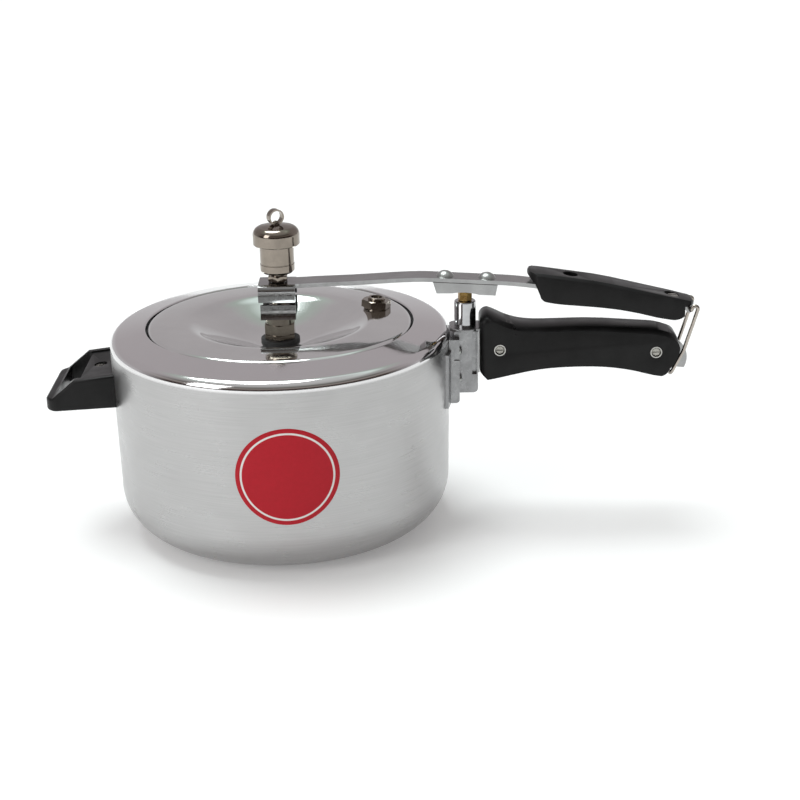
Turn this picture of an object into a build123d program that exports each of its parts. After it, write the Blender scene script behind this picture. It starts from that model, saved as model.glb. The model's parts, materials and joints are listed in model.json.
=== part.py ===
"""Stovetop pressure cooker with an inner lid: a lever bar pulls the lid up against the pot's mouth.

Millimetres, +Z up. The origin is the centre of the pot's base on the surface it stands on, +X points
along the long handles and +Y points away from the side that carries the round label. Every separate
piece of the cooker is written to parts/ as its own STEP file.
"""
from build123d import *
import math
import os

# ---------------------------------------------------------------- driving dimensions
POT_R = 110.0              # outer radius at the shoulder
POT_BASE_R = 108.3         # outer radius that the tapered wall would reach at the base
WALL = 3.0
FLOOR = 4.0
BASE_ROUND = 30.0          # radius between the base and the wall
SHOULDER_Z = 124.8         # where the wall turns into the shoulder
SHOULDER_ROUND = 6.0
TOP_SLOPE = 10.9           # degrees that the top of the pot rises towards the mouth
MOUTH_X, MOUTH_Y = 86.8, 84.2   # half axes of the oval mouth
SEAT_Z = 130.9             # flat underside of the mouth, where the gasket seals

LID_T = 2.4
LID_FLOOR_Z = 121.5        # the dish's floor at the vent
LID_FLAT_R = 15.0          # level part of the floor under the vent's washer
BOWL_R, BOWL_Z = 50.0, 132.3    # steepest ring of the dish
RIDGE_R, RIDGE_Z = 60.0, 135.6  # highest ring of the lid, from where it falls to the rim
MOUTH_GAP = 1.1            # between the lid and the mouth
SEAL_LAP = 2.1             # by how much the lid's flange is larger than the mouth
FLANGE_Z0, FLANGE_Z1 = 125.2, 127.5

VENT_R = 4.2               # outer radius of the vent tube
VENT_TOP = 171.7
SEAL_T = 2.0               # washer between the lid and the boss nut
BOSS_NUT_TOP_Z = 139.0
BRACKET_BASE_T = 2.0       # lid bracket's floor
LID_BRACKET_TOP_Z = 148.4
EAR_Z = 150.2              # lower edge of the two ears on the lever's end plate
BAR_TOP_Z = 161.3          # top of the lever's end plate over the vent tube
PLATE_X0, PLATE_X1 = -12.4, 11.2   # ends of the end plate
TOP_NUT_Z1 = 165.2
NUT_CONE = math.tan(math.radians(6.0))
BAR_T = 2.7
BAR_HALF_W = 8.0
BAR_SLOPE = -0.067         # rise per millimetre of the bar over the fulcrum
FULCRUM_X = 120.3
FULCRUM_BAR_Z = 162.1      # bar's top over the fulcrum
PIVOT_BALL_R = 3.0
PIVOT_PLAY = 0.15
CHANNEL_WEB = 1.8
CHANNEL_X = (99.6, 141.0)
CHANNEL_HALF_W = 8.7
RIVET_XS = (107.6, 134.6)
RIVET_SHANK_R = 2.5
ADJUSTER_SHANK_R = 2.9
POST_R = 7.0
POST_FOOT_Z = 89.0
POST_TOP_Z = 146.0

BLOCK_X1, BOSS_X1 = 116.0, 128.2        # outer faces of the bracket's block and of its boss
BLOCK_HALF_W, BOSS_HALF_W = 16.0, 10.3
BOSS_TOP_Z = 127.5
PLATE_T = 2.0                           # backing plate against the pot
BRACKET_RIVET_R = 1.7
BRACKET_RIVETS = [(y, z) for y in (-13.0, 13.0) for z in (96.5, 115.5)]

LOOP_PIVOT = (265.4, 138.8)     # x and z of the latch loop's hinge in the bar's rolled eye
WIRE_R = 1.2
LOOP_Y = 10.4                   # half spacing of its two legs
LOOP_FOOT = (253.6, 96.4)       # x and z of the loop's crossbar under the hook
HOOK_PLAY = 0.35

BODY_SCREWS = ((142.2, 115.9), (243.3, 112.5))   # x and z of the long handle's cross screws
LID_SCREWS_X = (188.3, 254.0)
LID_SCREW_BORE_R = 4.9
TANG_PLATE_X1 = 129.4                   # outer face of the tang's end plate
TANG_HALF_T = 1.5
BODY_HANDLE_HALF_W = 14.0
LID_HANDLE_HALF_W = 11.2
HELPER_HALF_W = 32.0
HELPER_BAR_X, WEB_X0 = -144.0, -128.0   # outer and inner side of the finger gap
HELPER_SCREW_X = -118.5
HELPER_RIVET_R = 2.0
HELPER_RIVETS = [(y, 94.0) for y in (-7.5, 7.5)]

VALVE_AT = (62.3, 22.0)
VALVE_SEAT_Z, VALVE_TILT = 135.2, 5.0   # its seat on the lid leans outwards by this many degrees
VALVE_SEAT_T = 2.0                      # lid's thickness left under the seat
VALVE_TURN = 20.0
VALVE_SHANK_R = 4.5

WEIGHT_Z0 = 166.4
CAP_Z0, CAP_Z1 = 186.0, 198.6
CAP_R, CAP_JOIN_Z = 15.0, 193.0
RING_YAW = 28                           # turn of the lifting ring about the weight's axis
RING_R, RING_T, RING_W = 5.1, 1.0, 4.6
LABEL_R, LABEL_AT = 31.6, (8.2, 70.0)

TAPER = (POT_R - POT_BASE_R) / SHOULDER_Z
BAR_ANGLE = math.degrees(math.atan(BAR_SLOPE))
BAR_DROP = BAR_T / math.cos(math.atan(BAR_SLOPE))   # bar's thickness measured upright where it slopes
WEB_DROP = BAR_DROP + CHANNEL_WEB / math.cos(math.atan(BAR_SLOPE))
PIVOT_Z = FULCRUM_BAR_Z - WEB_DROP - (PIVOT_BALL_R + PIVOT_PLAY) / math.cos(math.atan(BAR_SLOPE))
SEAL_Z1 = LID_FLOOR_Z + SEAL_T
VENT_FLANGE_Z0 = LID_FLOOR_Z - LID_T - 3.0
RING_Z = CAP_Z1 - 0.05 + RING_R


# ---------------------------------------------------------------- small helpers
def at(x, y, z):
    return Location((x, y, z))


def rod(r, x, y, z0, z1):
    """Upright cylinder."""
    return at(x, y, z0) * Cylinder(r, z1 - z0, align=(Align.CENTER, Align.CENTER, Align.MIN))


def rod_y(r, x, z, y0, y1):
    """Cylinder along Y."""
    return at(x, y0, z) * Rot(X=-90) * Cylinder(r, y1 - y0, align=(Align.CENTER, Align.CENTER, Align.MIN))


def rod_x(r, y, z, x0, x1):
    """Cylinder along X."""
    return at(x0, y, z) * Rot(Y=90) * Cylinder(r, x1 - x0, align=(Align.CENTER, Align.CENTER, Align.MIN))


def block(x0, x1, y0, y1, z0, z1):
    centre = at((x0 + x1) / 2, (y0 + y1) / 2, (z0 + z1) / 2)
    return centre * Box(x1 - x0, y1 - y0, z1 - z0)


def hex_prism(across_flats, x, y, z0, z1, turn=0):
    """Upright hexagonal prism; at turn 0 its flats face +X and -X."""
    outline = RegularPolygon(across_flats / 2, 6, major_radius=False, rotation=30 + turn)
    return extrude(at(x, y, z0) * outline, z1 - z0)


def nut_shape(across_flats, x, y, z0, z1, turn=0, both_ends=True):
    """Hexagonal prism with its corners turned off at one or both ends."""
    corner_r = across_flats / math.sqrt(3)
    height = z1 - z0
    bevel = 0.35 * (corner_r - across_flats / 2) + 0.3
    low = corner_r - 0.9 * (corner_r - across_flats / 2) if both_ends else corner_r + 1
    edge = corner_r - 0.9 * (corner_r - across_flats / 2)
    outline = [(0, 0), (low, 0), (corner_r + 0.3, bevel), (corner_r + 0.3, height - bevel),
               (edge, height), (0, height)]
    turned = revolve(Plane.XZ * make_face(Polyline(outline, close=True)), Axis.Z)
    return hex_prism(across_flats, x, y, z0, z1, turn) & (at(x, y, z0) * turned)


def turned_shape(points, x=0.0, y=0.0):
    """Solid of revolution about an upright axis at x, y from (radius, z) points."""
    shape = revolve(Plane.XZ * make_face(Polyline(points, close=True)), Axis.Z)
    return at(x, y, 0) * shape


def oval(half_x, half_y, z0, z1):
    return extrude(at(0, 0, z0) * Ellipse(half_x, half_y), z1 - z0)


def side_plate(outline_face, half_width):
    """A face drawn in the XZ plane, thickened symmetrically about it."""
    return extrude(outline_face, half_width, both=True)


def crowned_plate(outline_face, half_width, flat_half_width, drop, under_drop=0.0):
    """Side plate whose long top face slopes down towards its sides, and whose underside may slope up."""
    length_y = half_width - flat_half_width
    plate = side_plate(outline_face, half_width)
    for fall in (-drop, under_drop):
        if fall == 0:
            continue
        crown = side_plate(outline_face, flat_half_width)
        for side in (-1, 1):
            start = at(0, side * flat_half_width, 0) * outline_face
            crown += extrude(start, math.hypot(length_y, fall), dir=(0, side * length_y, fall))
        plate &= crown
    return plate


def dome_head(r, height, base):
    """Shallow rounded rivet head standing on z = 0, moved to a location."""
    cap_r = (r * r + height * height) / (2 * height)
    cap = at(0, 0, height - cap_r) * Sphere(cap_r)
    return base * (cap & Cylinder(r, height, align=(Align.CENTER, Align.CENTER, Align.MIN)))


def wall_radius(z):
    """Outer radius of the pot's tapered wall."""
    return POT_BASE_R + TAPER * z


def wall_skin(inner, outer, z0, z1):
    """Ring that hugs the outside of the pot's wall between two offsets from it."""
    corners = [(wall_radius(z0) + inner, z0), (wall_radius(z0) + outer, z0),
               (wall_radius(z1) + outer, z1), (wall_radius(z1) + inner, z1)]
    return turned_shape(corners)


def bar_top(x):
    """Height of the lever bar's top over its straight stretch at the fulcrum."""
    return FULCRUM_BAR_Z + BAR_SLOPE * (x - FULCRUM_X)


# ---------------------------------------------------------------- pot
def pot_body():
    slope = math.radians(TOP_SLOPE)
    arc_centre = (POT_R - SHOULDER_ROUND, SHOULDER_Z)
    arc_end = (arc_centre[0] + SHOULDER_ROUND * math.sin(slope), SHOULDER_Z + SHOULDER_ROUND * math.cos(slope))
    arc_mid_angle = (math.radians(90) - slope) / 2
    arc_mid = (arc_centre[0] + SHOULDER_ROUND * math.cos(arc_mid_angle),
               SHOULDER_Z + SHOULDER_ROUND * math.sin(arc_mid_angle))
    inner_r = 60.0
    inner_z = arc_end[1] + (arc_end[0] - inner_r) * math.tan(slope)
    base_flat_r = wall_radius(BASE_ROUND) - BASE_ROUND
    half = math.radians(45)
    base_mid = (base_flat_r + BASE_ROUND * math.sin(half), BASE_ROUND - BASE_ROUND * math.cos(half))
    outside = [
        Line((0, 0), (base_flat_r, 0)),
        ThreePointArc((base_flat_r, 0), base_mid, (wall_radius(BASE_ROUND), BASE_ROUND)),
        Line((wall_radius(BASE_ROUND), BASE_ROUND), (POT_R, SHOULDER_Z)),
        ThreePointArc((POT_R, SHOULDER_Z), arc_mid, arc_end),
        Line(arc_end, (inner_r, inner_z)),
        Line((inner_r, inner_z), (0, inner_z)),
        Line((0, inner_z), (0, 0)),
    ]
    body = revolve(Plane.XZ * make_face(outside), Axis.Z)

    in_round = BASE_ROUND - WALL
    floor_r = base_flat_r
    in_wall = wall_radius(BASE_ROUND) - WALL
    in_mid = (floor_r + (in_wall - floor_r) * math.sin(half), FLOOR + in_round * (1 - math.cos(half)))
    inside = [
        Line((0, FLOOR), (floor_r, FLOOR)),
        ThreePointArc((floor_r, FLOOR), in_mid, (in_wall, FLOOR + in_round)),
        Line((in_wall, FLOOR + in_round), (POT_R - WALL, SHOULDER_Z - 2)),
        Line((POT_R - WALL, SHOULDER_Z - 2), (POT_R - WALL - 3.5, SHOULDER_Z + 1.2)),
        Line((POT_R - WALL - 3.5, SHOULDER_Z + 1.2), (93.0, SEAT_Z)),
        Line((93.0, SEAT_Z), (0, SEAT_Z)),
        Line((0, SEAT_Z), (0, FLOOR)),
    ]
    body -= revolve(Plane.XZ * make_face(inside), Axis.Z)
    body -= oval(MOUTH_X, MOUTH_Y, SEAT_Z - 1, inner_z + 1)
    for y, z in BRACKET_RIVETS:
        body -= rod_x(BRACKET_RIVET_R, y, z, 90, 130)
    for y, z in HELPER_RIVETS:
        body -= rod_x(HELPER_RIVET_R, y, z, -130, -90)
    lip = [e for e in body.edges()
           if e.center().Z > SEAT_Z + 1 and abs(e.bounding_box().max.X - MOUTH_X) < 0.3]
    return fillet(lip, 0.8)


# ---------------------------------------------------------------- long handle's bracket
def backing_plate():
    plate = wall_skin(0, PLATE_T, 80.8, 117.0) & block(90, 130, -26, 26, 70, 130)
    for y, z in BRACKET_RIVETS:
        plate -= rod_x(BRACKET_RIVET_R, y, z, 90, 130)
    return plate


def body_bracket():
    base = block(100, BLOCK_X1, -BLOCK_HALF_W, BLOCK_HALF_W, 80.8, 124.0)
    low_edges = base.edges().filter_by(Axis.Y).sort_by(Axis.Z)[:2].sort_by(Axis.X)[-1:]
    base = fillet(low_edges, 2.5)
    base -= turned_shape([(0, 70), (wall_radius(70) + PLATE_T, 70), (wall_radius(117) + PLATE_T, 117),
                          (wall_radius(117) + 0.3, 117), (wall_radius(130) + 0.3, 130), (0, 130)])
    boss = block(BLOCK_X1 - 1, BOSS_X1, -BOSS_HALF_W, BOSS_HALF_W, 86.0, BOSS_TOP_Z)
    boss = fillet(boss.edges().filter_by(Axis.Y).group_by(Axis.X)[-1].sort_by(Axis.Z)[:1], 3.0)
    neck = block(BLOCK_X1 - 3.2, BLOCK_X1, -BOSS_HALF_W, BOSS_HALF_W, 118.0, BOSS_TOP_Z)
    bracket = base + boss + neck
    bracket -= rod(POST_R, FULCRUM_X, 0, POST_FOOT_Z, BOSS_TOP_Z + 5)
    for side in (-1, 1):
        window = block(124.4, BOSS_X1 - 0.9, 6.9, BOSS_HALF_W + 1, 98.5, BOSS_TOP_Z)
        bracket -= window if side > 0 else mirror(window, Plane.XZ)
        y = side * (BLOCK_HALF_W + 0.1)
        ledge = block(112.5, BLOCK_X1 + 0.1, y - 1.2, y + 1.2, 110.0, 118.5)
        bracket -= ledge
    for y, z in BRACKET_RIVETS:
        bracket -= rod_x(BRACKET_RIVET_R, y, z, 90, 130)
    return bracket


def bracket_rivets():
    rivets = []
    for y, z in BRACKET_RIVETS:
        inner_face = 105.1
        rivet = rod_x(BRACKET_RIVET_R, y, z, inner_face, BLOCK_X1)
        rivet += dome_head(2.5, 1.9, at(BLOCK_X1, y, z) * Rot(Y=90))
        rivet += dome_head(3.4, 1.6, at(inner_face, y, z) * Rot(Y=-90))
        rivets.append(rivet)
    return Compound(children=rivets)


def fulcrum_post():
    post = rod(POST_R, FULCRUM_X, 0, POST_FOOT_Z, POST_TOP_Z)
    post = fillet(post.edges().group_by(Axis.Z)[-1], 0.9)
    return post - rod(ADJUSTER_SHANK_R + 0.06, FULCRUM_X, 0, 124.0, POST_TOP_Z + 1)


def post_collar():
    plate = rod(11.6, FULCRUM_X - 0.6, 0, BOSS_TOP_Z, BOSS_TOP_Z + 1.8)
    plate += block(FULCRUM_X, 129.4, -9.0, 9.0, BOSS_TOP_Z, BOSS_TOP_Z + 1.8)
    plate = fillet(plate.edges().group_by(Axis.Z)[-1], 0.5)
    plate -= rod(POST_R, FULCRUM_X, 0, BOSS_TOP_Z - 1, BOSS_TOP_Z + 3)
    plate &= block(90, TANG_PLATE_X1, -20, 20, BOSS_TOP_Z, BOSS_TOP_Z + 3)
    return plate - wall_skin(-20, 0.3, 100, SHOULDER_Z + 10)


def adjusting_screw():
    screw = rod(ADJUSTER_SHANK_R, FULCRUM_X, 0, 126.0, POST_TOP_Z + 0.5)
    screw += nut_shape(8.1, FULCRUM_X, 0, POST_TOP_Z + 0.25, POST_TOP_Z + 6.2, turn=12)
    screw += rod(2.4, FULCRUM_X, 0, POST_TOP_Z + 6, PIVOT_Z)
    return screw + at(FULCRUM_X, 0, PIVOT_Z) * Sphere(PIVOT_BALL_R)


# ---------------------------------------------------------------- long lower handle
def hook_lobe_face():
    """Rounded hook beyond the handle's end. Its underside follows the latch loop's own swing."""
    reach = math.hypot(LOOP_PIVOT[0] - LOOP_FOOT[0], LOOP_PIVOT[1] - LOOP_FOOT[1])
    clear = reach - WIRE_R - HOOK_PLAY - 1.2
    rim = make_face([
        Line((250, 120), (250, 95)), Line((250, 95), (262, 95)),
        ThreePointArc((262, 95), (265.4, 103.4), (259.5, 116)), Line((259.5, 116), (250, 120)),
    ])
    swing_side = make_face(Circle(clear).edges()).moved(Location((*LOOP_PIVOT, 0)))
    return rim & swing_side


def handle_tang():
    plate = block(BOSS_X1, TANG_PLATE_X1, -7.0, 7.0, 98.6, BOSS_TOP_Z)
    outline = [(TANG_PLATE_X1 - 0.5, 108), (150, 108), (245, 104.5), (251.4, 99.6), (256, 103), (256, 118),
               (245, 120.5), (150, 123), (TANG_PLATE_X1 - 0.5, 123)]
    strip = side_plate(Plane.XZ * make_face(Polyline(outline, close=True)), TANG_HALF_T)
    strip += side_plate(Plane.XZ * hook_lobe_face(), TANG_HALF_T)
    foot_room = rod_y(WIRE_R + HOOK_PLAY, *LOOP_FOOT, -5, 5)
    tang = plate + strip - foot_room
    for x, z in BODY_SCREWS:
        tang -= rod_y(2.1, x, z, -5, 5)
    return tang


def body_handle():
    top = Spline((134.8, 138.7), (144.4, 134.4), (155, 130.9), (172, 129.6), (200, 129.8), (236, 127.4),
                 (254.6, 123.2), tangents=[(1.0, -0.28), (1.0, -0.42)])
    under = Spline((247.6, 96.0), (233, 99.2), (215, 102.6), (188, 103.6), (165, 101.8), (134.2, 95.6),
                   tangents=[(-0.9, 0.08), (-1.0, -0.16)])
    outline = [
        top,
        ThreePointArc((254.6, 123.2), (257.9, 119.6), (258.9, 115.0)),
        ThreePointArc((258.9, 115.0), (257.0, 107.4), (252.4, 100.6)),
        ThreePointArc((252.4, 100.6), (250.3, 97.4), (247.6, 96.0)),
        under,
        Line((134.2, 95.6), (129.5, 100.6)),
        Line((129.5, 100.6), (129.5, 133.2)),
        ThreePointArc((129.5, 133.2), (131.3, 137.3), (134.8, 138.7)),
    ]
    face = Plane.XZ * make_face(outline)
    grip = crowned_plate(face, BODY_HANDLE_HALF_W, BODY_HANDLE_HALF_W - 4.6, 2.3)
    corners = grip.edges().filter_by(Axis.Z).sort_by(Axis.X)[:2]
    grip = fillet(corners, 4.0)
    slot = side_plate(Plane.XZ * make_face(Polyline(
        [(TANG_PLATE_X1 - 1, 107.9), (150, 107.9), (245, 104.4), (251.4, 99.0), (262, 96), (262, 118.5),
         (245, 120.6), (150, 123.1), (TANG_PLATE_X1 - 1, 123.1)], close=True)), TANG_HALF_T + 0.05)
    grip -= slot
    for x, z in BODY_SCREWS:
        grip -= rod_y(3.85, x, z, -20, -BODY_HANDLE_HALF_W + 4.0)
        grip -= rod_y(2.1, x, z, -20, 20)
        grip -= extrude(Plane.XZ.offset(-BODY_HANDLE_HALF_W + 4) * Pos(x, z) * RegularPolygon(
            3.6, 6, major_radius=False), -6)
    return grip


def handle_ferrules():
    rings = []
    for x, z in BODY_SCREWS:
        y_face = -BODY_HANDLE_HALF_W
        ring = rod_y(3.8, x, z, y_face - 0.4, y_face + 4.0) - rod_y(3.1, x, z, y_face - 1, y_face + 2.6)
        rings.append(ring - rod_y(2.1, x, z, y_face, y_face + 5))
    return Compound(children=rings)


def handle_screws():
    screws = []
    for x, z in BODY_SCREWS:
        seat = -BODY_HANDLE_HALF_W + 2.6
        head = rod_y(2.95, x, z, seat - 1.9, seat)
        head = fillet(head.edges().sort_by(Axis.Y)[0], 0.7)
        head -= block(x - 3, x + 3, seat - 2.4, seat - 1.1, z - 0.4, z + 0.4)
        screws.append(head + rod_y(2.0, x, z, seat, BODY_HANDLE_HALF_W - 0.8))
    return Compound(children=screws)


def handle_nuts():
    nuts = []
    for x, z in BODY_SCREWS:
        y0 = BODY_HANDLE_HALF_W - 4.0
        outline = Plane.XZ.offset(-y0) * Pos(x, z) * RegularPolygon(3.5, 6, major_radius=False)
        nut = extrude(outline, -3.2)
        nuts.append(nut - rod_y(2.0, x, z, y0 - 1, y0 + 6))
    return Compound(children=nuts)


# ---------------------------------------------------------------- short helper handle
def helper_handle():
    cheek = make_face(Polyline([(-90, 88.6), (-90, 110.0), (-104.7, 110.0), (-131.4, 106.6), (-146.0, 94.6),
                                (-150.8, 94.6), (-150.8, 86.0), (-145.4, 85.8)], close=True))
    body = side_plate(Plane.XZ * cheek, HELPER_HALF_W)
    body = fillet(body.edges().filter_by(Axis.Z).sort_by(Axis.X)[:2], 8.0)
    rim = [e for e in body.edges() if e.center().X < -105 and e.bounding_box().size.Z < 9
           and not (e.bounding_box().size.Y > 40 and e.center().X > -140)]
    body = fillet(rim, 1.6)
    finger_gap = side_plate(Plane.XZ * make_face(Polyline(
        [(HELPER_BAR_X, 80), (HELPER_BAR_X, 115), (WEB_X0, 115), (WEB_X0, 80)], close=True)), HELPER_HALF_W - 5.5)
    finger_gap = fillet(finger_gap.edges().filter_by(Axis.Z), 3.0)
    body -= finger_gap
    above_web = side_plate(Plane.XZ * make_face(Polyline(
        [(-90, 108.8), (-105, 108.8), (WEB_X0 - 1, 105.8), (WEB_X0 - 1, 115), (-90, 115)], close=True)),
        HELPER_HALF_W - 5.5)
    under_web = block(WEB_X0 + 3.5, -90, -HELPER_HALF_W + 5.5, HELPER_HALF_W - 5.5, 80, 102.4)
    body -= above_web
    body -= under_web
    body -= wall_skin(-30, 0.05, 70, 120)
    return body - rod(2.1, HELPER_SCREW_X, 0, 90, 115) - rod(4.3, HELPER_SCREW_X, 0, 104.4, 115)


def helper_bracket():
    upright = wall_skin(0.05, 2.05, 88.0, 102.3) & block(-130, -90, -12.5, 12.5, 80, 110)
    shelf = block(WEB_X0 + 3.6, -100, -9.0, 9.0, 100.3, 102.3) - wall_skin(-30, 0.05, 90, 110)
    bracket = upright + shelf - rod(2.1, HELPER_SCREW_X, 0, 90, 115)
    for y, z in HELPER_RIVETS:
        bracket -= rod_x(HELPER_RIVET_R, y, z, -130, -90)
    return bracket


def helper_rivets():
    rivets = []
    for y, z in HELPER_RIVETS:
        inner, outer = -106.0, -wall_radius(z) - 2.05
        rivet = rod_x(HELPER_RIVET_R, y, z, outer, inner)
        rivet += dome_head(3.6, 1.6, at(inner, y, z) * Rot(Y=90))
        rivet += dome_head(3.2, 1.5, at(outer, y, z) * Rot(Y=-90))
        rivets.append(rivet)
    return Compound(children=rivets)


def helper_screw():
    head = rod(4.1, HELPER_SCREW_X, 0, 104.4, 106.0)
    head = fillet(head.edges().sort_by(Axis.Z)[-1], 0.9)
    head -= block(HELPER_SCREW_X - 5, HELPER_SCREW_X + 5, -0.5, 0.5, 105.1, 107)
    return head + rod(2.0, HELPER_SCREW_X, 0, 95.0, 104.4)


def helper_nut():
    return nut_shape(7.0, HELPER_SCREW_X, 0, 97.1, 100.3) - rod(2.0, HELPER_SCREW_X, 0, 90, 105)


# ---------------------------------------------------------------- label
def front_label():
    disc = rod_y(LABEL_R, LABEL_AT[0], LABEL_AT[1], -120, -80)
    return wall_skin(0, 0.18, 30, 110) & disc


# ---------------------------------------------------------------- lid
def lid_surface():
    """Top of the lid in the (radius, z) plane: level floor, bowl, ridge and the fall to the rim."""
    return [
        Line((0, LID_FLOOR_Z), (LID_FLAT_R, LID_FLOOR_Z)),
        Spline((LID_FLAT_R, LID_FLOOR_Z), (28.0, 124.1), (BOWL_R, BOWL_Z), tangents=[(1, 0), (1, 0.38)]),
        Spline((BOWL_R, BOWL_Z), (RIDGE_R, RIDGE_Z), tangents=[(1, 0.38), (1, 0)]),
        Spline((RIDGE_R, RIDGE_Z), (76.0, 135.0), (94.0, 133.7), tangents=[(1, 0), (1, -0.08)]),
    ]


def under_surface(edges, bottom_z):
    """Solid of revolution below a surface that runs outwards from the axis."""
    start, end = edges[0] @ 0, edges[-1] @ 1
    closing = [Line(end, (end.X, bottom_z)), Line((end.X, bottom_z), (start.X, bottom_z)),
               Line((start.X, bottom_z), start)]
    return revolve(Plane.XZ * make_face(edges + closing), Axis.Z)


def lid_shell():
    rim_x, rim_y = MOUTH_X - MOUTH_GAP, MOUTH_Y - MOUTH_GAP
    lid = under_surface(lid_surface(), 110.0) & oval(rim_x, rim_y, 100, 150)
    rim = [e for e in lid.edges() if e.center().Z > FLANGE_Z1 and e.bounding_box().max.X > rim_x - 1]
    lid = fillet(rim, 3.0)
    lower = [Line((0, LID_FLOOR_Z - LID_T), (0.9, LID_FLOOR_Z - LID_T))]
    lower += [Pos(0.9, -LID_T) * edge for edge in lid_surface()]
    lid -= under_surface(lower, 105.0) & oval(rim_x - LID_T, rim_y - LID_T, 100, 150)
    lid -= oval(rim_x + 1, rim_y + 1, 100, FLANGE_Z0) - rod(70.0, 0, 0, 90, FLANGE_Z0 + 1)
    lid += oval(MOUTH_X + SEAL_LAP, MOUTH_Y + SEAL_LAP, FLANGE_Z0, FLANGE_Z1) \
        - oval(rim_x - LID_T, rim_y - LID_T, FLANGE_Z0 - 1, FLANGE_Z1 + 1)
    lid -= rod(VENT_R + 0.1, 0, 0, 100, 140)
    lid -= valve_place() * rod(VALVE_SHANK_R + 0.1, 0, 0, -10, 10)
    return lid - valve_place() * rod(8.6, 0, 0, 0, 6) - valve_place() * rod(7.2, 0, 0, -8, -VALVE_SEAT_T)


def lid_gasket():
    ring = oval(MOUTH_X + SEAL_LAP + 1.7, MOUTH_Y + SEAL_LAP + 1.7, FLANGE_Z0 - 1.4, SEAT_Z - 0.3)
    ring -= oval(MOUTH_X - 0.8, MOUTH_Y - 0.8, 100, 150)
    return ring - oval(MOUTH_X + SEAL_LAP, MOUTH_Y + SEAL_LAP, FLANGE_Z0, FLANGE_Z1)


def vent_seal_washer():
    washer = rod(12.65, 0, 0, LID_FLOOR_Z, SEAL_Z1)
    washer = fillet(washer.edges().group_by(Axis.Z)[-1], 0.6)
    return washer - rod(VENT_R, 0, 0, 100, 150)


def boss_nut():
    nut = nut_shape(19.0, 0, 0, SEAL_Z1, BOSS_NUT_TOP_Z)
    groove = rod(14, 0, 0, SEAL_Z1 + 3.0, SEAL_Z1 + 3.8) - rod(9.2, 0, 0, SEAL_Z1 + 2, SEAL_Z1 + 5)
    upper = rod(14, 0, 0, 133.5, BOSS_NUT_TOP_Z + 1) - rod(9.4, 0, 0, 133, BOSS_NUT_TOP_Z + 2)
    return nut - groove - upper - rod(VENT_R, 0, 0, 100, 150)


def lid_bracket():
    base_z = BOSS_NUT_TOP_Z
    section = [
        Line((-13.2, base_z), (13.2, base_z)),
        ThreePointArc((13.2, base_z), (12.1, (base_z + LID_BRACKET_TOP_Z) / 2), (12.0, LID_BRACKET_TOP_Z)),
        Line((12.0, LID_BRACKET_TOP_Z), (10.0, LID_BRACKET_TOP_Z)),
        Line((10.0, LID_BRACKET_TOP_Z), (10.0, base_z + BRACKET_BASE_T)),
        Line((10.0, base_z + BRACKET_BASE_T), (-10.0, base_z + BRACKET_BASE_T)),
        Line((-10.0, base_z + BRACKET_BASE_T), (-10.0, LID_BRACKET_TOP_Z)),
        Line((-10.0, LID_BRACKET_TOP_Z), (-12.0, LID_BRACKET_TOP_Z)),
        ThreePointArc((-12.0, LID_BRACKET_TOP_Z), (-12.1, (base_z + LID_BRACKET_TOP_Z) / 2), (-13.2, base_z)),
    ]
    channel = extrude(Plane.YZ * make_face(section), 11.3, both=True)
    return channel - rod(VENT_R, 0, 0, 100, 150)


def bracket_nut():
    z0 = BOSS_NUT_TOP_Z + BRACKET_BASE_T
    return nut_shape(13.0, 0, 0, z0, z0 + 4.5) - rod(VENT_R, 0, 0, 100, 160)


def vent_tube():
    tube = rod(VENT_R, 0, 0, VENT_FLANGE_Z0, VENT_TOP)
    tube += rod(8.5, 0, 0, VENT_FLANGE_Z0, LID_FLOOR_Z - LID_T)
    tube = fillet(tube.edges().group_by(Axis.Z)[-1], 0.8)
    return tube - rod(1.3, 0, 0, VENT_FLANGE_Z0 - 1, VENT_TOP + 1)


def vent_tube_nut():
    """The lever's plate pulls up on this nut; the cone underneath leaves room for the plate to tilt."""
    z0 = BAR_TOP_Z + 0.1
    nut = nut_shape(12.0, 0, 0, z0, TOP_NUT_Z1)
    relief = turned_shape([(0, z0 - 1), (0, z0), (10.0, z0 + 10.0 * NUT_CONE), (10.0, z0 - 1)])
    return nut - relief - rod(VENT_R, 0, 0, 150, 180)


def valve_place():
    """Seat of the safety valve: a flat spot on the lid that leans outwards."""
    azimuth = math.degrees(math.atan2(VALVE_AT[1], VALVE_AT[0]))
    return at(*VALVE_AT, VALVE_SEAT_Z) * Rot(Z=azimuth) * Rot(Y=VALVE_TILT)


def valve_washer():
    return valve_place() * (rod(8.2, 0, 0, 0, 0.9) - rod(VALVE_SHANK_R, 0, 0, -1, 2))


def safety_valve_body():
    body = nut_shape(17.0, 0, 0, 0.9, 5.7, turn=VALVE_TURN, both_ends=False)
    body += rod(5.6, 0, 0, 5.5, 7.4)
    body = fillet(body.edges().group_by(Axis.Z)[-1], 0.5)
    body += rod(VALVE_SHANK_R, 0, 0, -VALVE_SEAT_T - 5.0, 1.0)
    body -= rod(2.6, 0, 0, -20, 20)
    return valve_place() * (body - rod(3.8, 0, 0, 6.2, 10))


def safety_valve_plug():
    return valve_place() * rod(2.6, 0, 0, -VALVE_SEAT_T - 5.0, 5.8)


def safety_valve_nut():
    nut = nut_shape(11.0, 0, 0, -VALVE_SEAT_T - 3.6, -VALVE_SEAT_T, turn=VALVE_TURN)
    return valve_place() * (nut - rod(VALVE_SHANK_R, 0, 0, -20, 20))


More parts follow.
